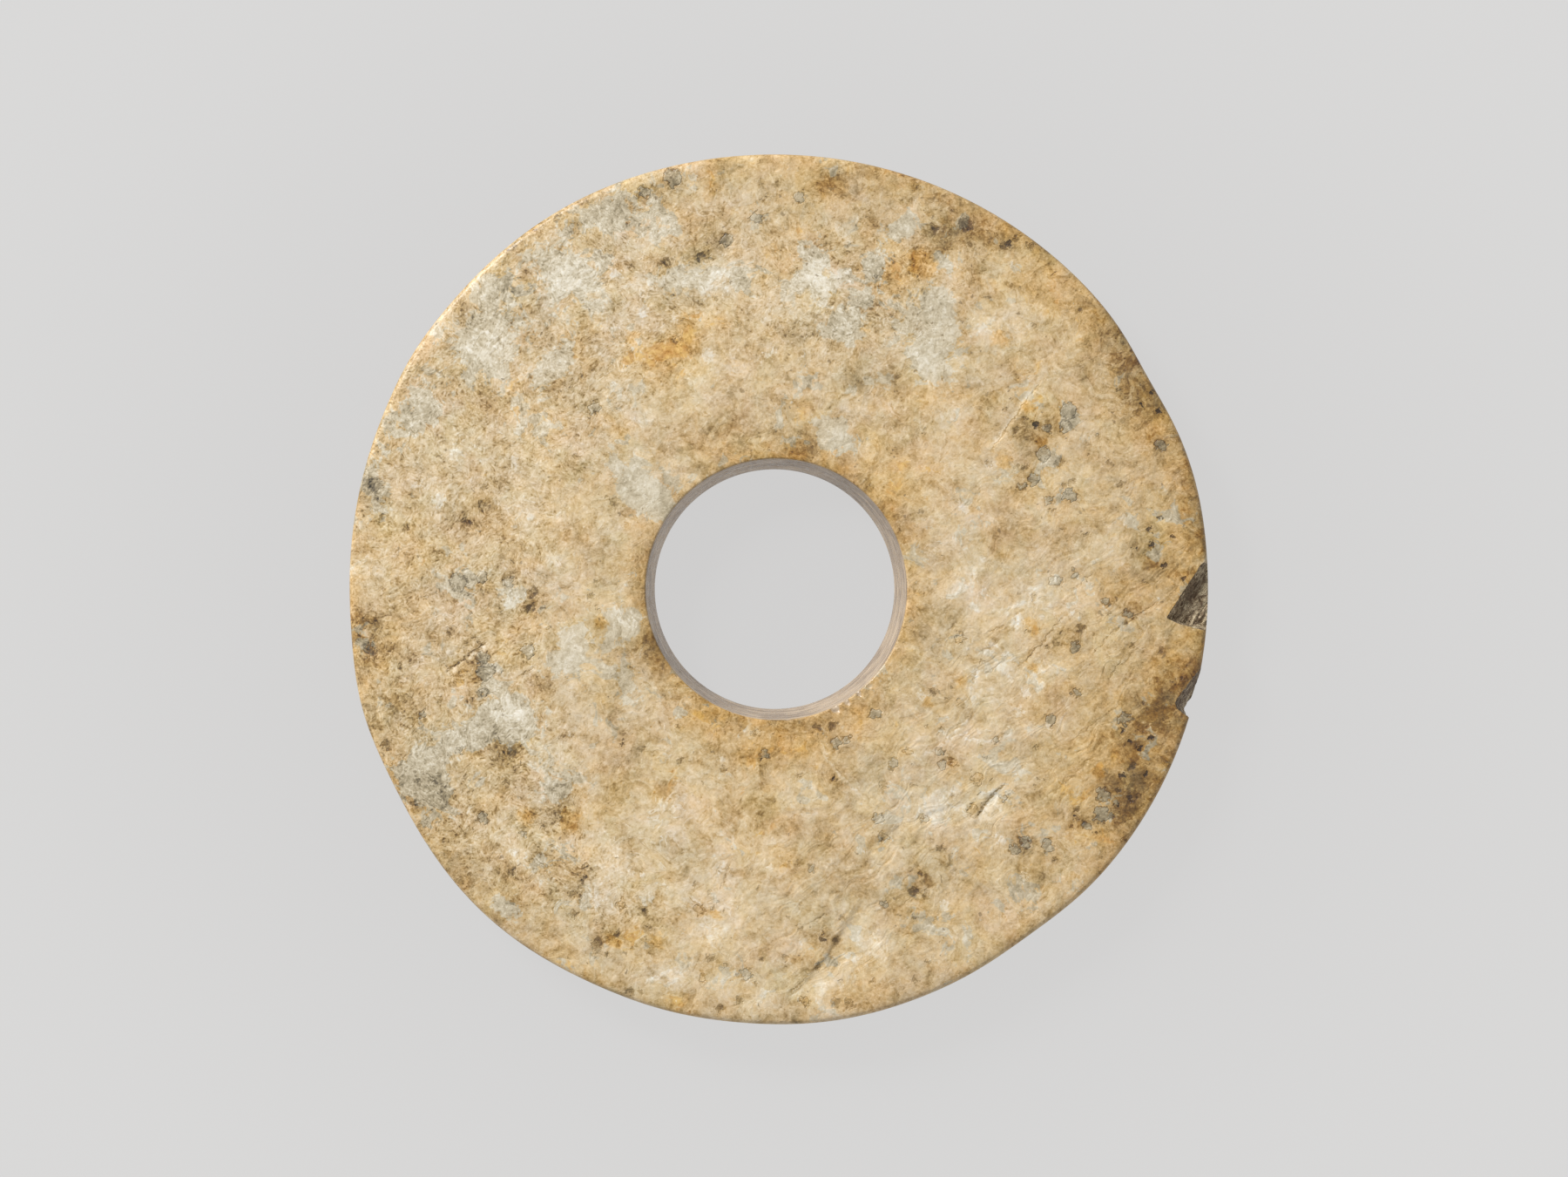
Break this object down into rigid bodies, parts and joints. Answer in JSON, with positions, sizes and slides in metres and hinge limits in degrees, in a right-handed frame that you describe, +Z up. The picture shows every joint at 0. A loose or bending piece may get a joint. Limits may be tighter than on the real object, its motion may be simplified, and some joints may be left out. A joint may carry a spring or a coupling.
{
  "type": "jade bi disc",
  "caption": "Flat ring of weathered jade with a round drilled bore and a hand-ground outline, chipped at its rim. A ritual disc that lies flat on its underside.",
  "frame": {"origin": "on the surface that the disc lies on, under the middle of its outline", "axes": "+Z up out of the finished upper face, +Y towards the longer swell of the outline, +X towards the two missing rim flakes"},
  "size_m": [0.18, 0.1824, 0.011],
  "materials": {
    "jade": "weathered cream-tan nephrite, worn smooth to a soft polish, mottled with ochre, grey-green and dark specks, rougher in its broken scars"
  },
  "bodies": {
    "root": {"bi_disc": "jade"}
  },
  "joints": []
}
